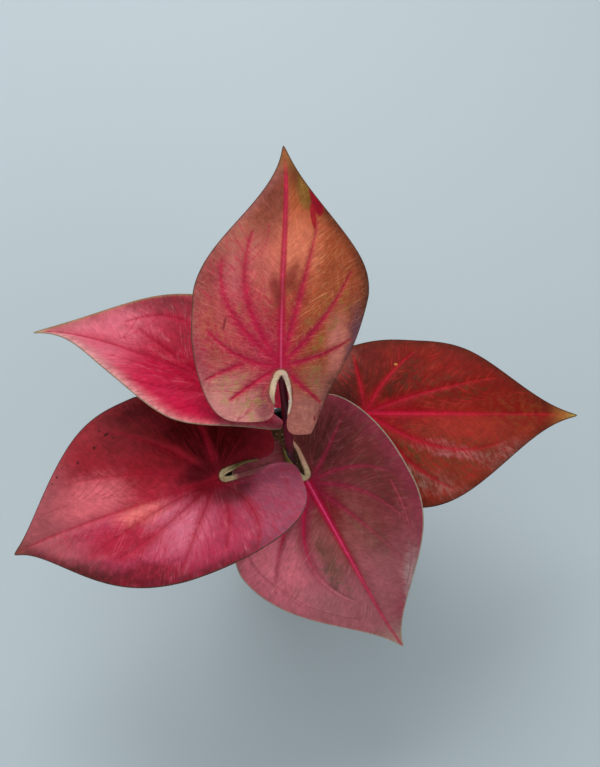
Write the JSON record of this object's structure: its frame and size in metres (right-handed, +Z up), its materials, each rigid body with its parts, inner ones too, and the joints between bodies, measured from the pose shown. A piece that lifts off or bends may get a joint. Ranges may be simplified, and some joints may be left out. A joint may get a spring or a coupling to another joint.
{
  "type": "potted caladium",
  "caption": "Potted foliage plant with heart-shaped red leaves held on long stalks over a plain round nursery pot, standing on its flat base.",
  "frame": {"origin": "middle of the pot's flat base, on the surface that it stands on", "axes": "+Z up along the pot's axis, +Y to the back, where the tallest leaf's tip points, +X to the right of a viewer in front"},
  "size_m": [0.3939, 0.2788, 0.3382],
  "materials": {
    "pot_plastic": "satin black, moulded",
    "potting_mix": "rough, crumbly",
    "tuber_skin": "matt, corky",
    "stalk_skin": "smooth, slightly glossy",
    "leaf_back": "satin leaf skin, veined",
    "leaf_right": "satin leaf skin, veined",
    "leaf_front": "satin leaf skin, veined",
    "leaf_left_low": "satin leaf skin, veined",
    "leaf_left_high": "satin leaf skin, veined"
  },
  "bodies": {
    "root": {"pot": "pot_plastic", "soil": "potting_mix", "tuber": "tuber_skin", "stalk_back": "stalk_skin", "blade_back": "leaf_back", "stalk_right": "stalk_skin", "blade_right": "leaf_right", "stalk_front": "stalk_skin", "blade_front": "leaf_front", "stalk_left_low": "stalk_skin", "blade_left_low": "leaf_left_low", "stalk_left_high": "stalk_skin", "blade_left_high": "leaf_left_high"}
  },
  "joints": []
}
